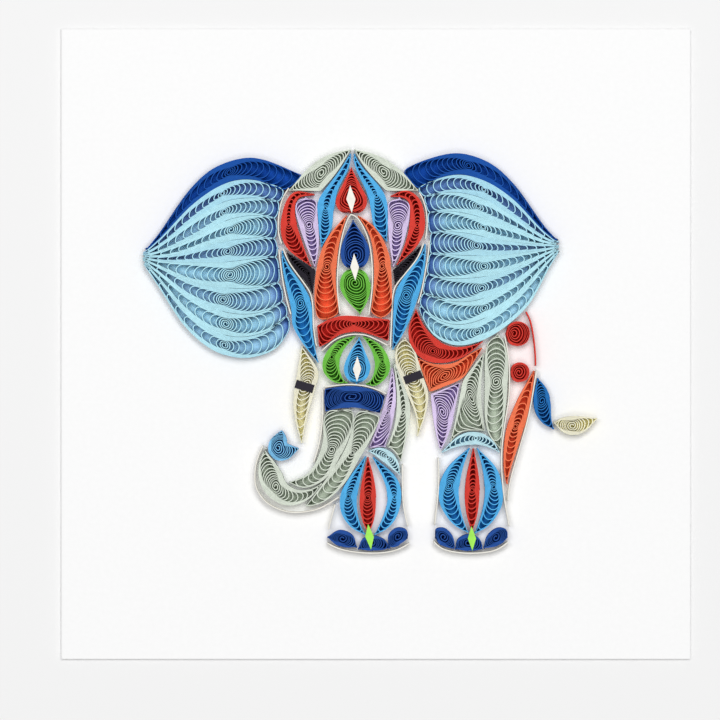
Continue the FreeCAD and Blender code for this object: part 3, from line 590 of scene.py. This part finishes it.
# The trunk: a blue drop between two green crescents, a dark blue coil pressed
# to a band, and three long grey coils that bend round to the curled end,
# which holds a small heart-shaped coil of deeper blue.
pale_blue = paper_material("paper_pale_blue", (176, 226, 244), (206, 244, 252))
graded(pale_blue, (40, 120, 205), (134, 206, 248))
quill("trunk_drop", blue, 7, 0.00048)
quill("trunk_crescents", green, 10, 0.00036)
quill("trunk_band", dark_blue, 9, 0.00046, stretch=2.2, square=True, blunt=True)
quill("trunk_left_coil", grey, 11, 0.0004)
quill("trunk_right_coil", grey, 12, 0.00036)
quill("trunk_end_coil", grey, 11, 0.00045)
quill("trunk_tip", pale_blue, 6, 0.00046, square=True, blunt=True, depth=1)

# The tusks: long cream coils pinched to a point, each with a band of black
# paper glued flat across it.
cream = paper_material("paper_cream", (255, 252, 222), (246, 243, 222), clouds=0.6, through=0.85)
quill("tusks", cream, 9, 0.00045)
dress("tusk_bands", black)

# The shoulder: a grey and a lilac coil, both long and narrow, that fill the
# gap between the trunk and the right tusk.
quill("shoulder_grey", grey, 10, 0.00036, square=True)
quill("shoulder_drop", lilac, 10, 0.00036, square=True)

# The two legs, each with a pale blue half-moon for a knee cap, a red leaf
# between two blue petals and three dark blue toenails. A lime green diamond
# is glued flat on the lower end of each leaf.
lime = paper_material("paper_lime", (150, 226, 78), (160, 232, 90))
quill("knee_caps", pale_blue, 8, 0.00036, inner_count=4)
quill("leg_leaves", red, 9, 0.00036)
quill("leg_petals", blue, 11, 0.00036)
quill("toenails", dark_blue, 6, 0.0005)
dress("green_diamonds", lime)

# The body behind the right ear: a red crescent, an orange triangle and a
# lilac drop on the flank, two grey haunch coils, two coils left round on
# the rump, and a long orange drop down the hind leg.
quill("flank_crescent", red, 11, 0.00036)
quill("flank_triangle", orange, 8, 0.0005, square=True, blunt=True)
quill("flank_drop", lilac, 8, 0.00048, square=True, blunt=True)
quill("haunches", grey, 10, 0.00045, square=True)
quill("rump_coils", red, 4, 0.00055, blunt=True)
quill("hind_leg_drop", orange, 10, 0.00036)

# The tail: a strong blue leaf that hangs from the rump, and a cream tuft at
# its end, pinched like the tusks.
tail_blue = paper_material("paper_tail_blue", (14, 100, 185), (40, 124, 200))
quill("tail_leaf", tail_blue, 7, 0.00042)
quill("tail_tuft", cream, 6, 0.00042)

# The edging: single strips of stiffer paper, white round the head, face,
# trunk and legs and red at the rump, bent to the boundaries of the coils
# and glued down on edge.
white = paper_material("paper_white", (236, 233, 222), (238, 235, 226))
edging_thickness = 0.0003
edging_corner = 70


def edge_with(node, material):
    """Bends the edging strips of a node: a smooth curve through the corners of each solid's middle line."""
    paths = [smooth_path(centre_line(outline), edging_corner)[0] for outline in undersides(nodes[node])]
    parts = [strip_mesh(path, card_top, coil_top, edging_thickness) for path in paths]
    paper_piece(node, "_strips", parts, material)


for node in ("head_edging", "face_edging", "leg_edging", "trunk_edging"):
    edge_with(node, white)
edge_with("rump_edging", red)

# The white diamonds: three small shapes cut from a sheet and glued flat on
# the drops along the elephant's middle line.
dress("white_diamonds", white)

# The table under the card is plain and pale. Four soft lamps hang high over
# it in a plain pale surround.
floor_mesh = bpy.data.meshes.new("floor")
floor_mesh.from_pydata([(-2, -2, 0), (2, -2, 0), (2, 2, 0), (-2, 2, 0)], [], [(0, 1, 2, 3)])
floor = bpy.data.objects.new("floor", floor_mesh)
bpy.context.scene.collection.objects.link(floor)
floor_material = bpy.data.materials.new("floor")
floor_material.use_nodes = True
floor_shader = floor_material.node_tree.nodes["Principled BSDF"]
floor_shader.inputs["Base Color"].default_value = linear((234, 234, 234))
floor_shader.inputs["Roughness"].default_value = 0.9
floor_mesh.materials.append(floor_material)

lamp_height = 1.5
for number, (x, y, power) in enumerate([(-0.5, 0.25, 6.4), (0.5, 0.2, 5), (0.1, 0.6, 8), (0, -0.5, 4.5)]):
    lamp = bpy.data.objects.new(f"lamp_{number}", bpy.data.lights.new(f"lamp_{number}", "AREA"))
    bpy.context.scene.collection.objects.link(lamp)
    lamp.data.size = 0.5
    lamp.data.energy = power
    lamp.location = (x, y, lamp_height)
    lamp.rotation_euler = lamp.location.to_track_quat("Z", "Y").to_euler()

world = bpy.data.worlds.new("surround")
bpy.context.scene.world = world
world.use_nodes = True
world.node_tree.nodes["Background"].inputs["Color"].default_value = (1, 1, 1, 1)
world.node_tree.nodes["Background"].inputs["Strength"].default_value = 0.25
bpy.context.scene.view_settings.view_transform = "Standard"

# The camera looks straight down on the card, from a little left of and below
# its middle.
view_x, view_y = -0.00371, -0.00383
view_height = 0.9
view_width = 0.17455
camera = bpy.data.objects.new("camera", bpy.data.cameras.new("camera"))
bpy.context.scene.collection.objects.link(camera)
camera.location = (view_x, view_y, view_height)
camera.data.sensor_width = 36
camera.data.lens = 36 * view_height / view_width
camera.data.clip_start = 0.01
bpy.context.scene.camera = camera
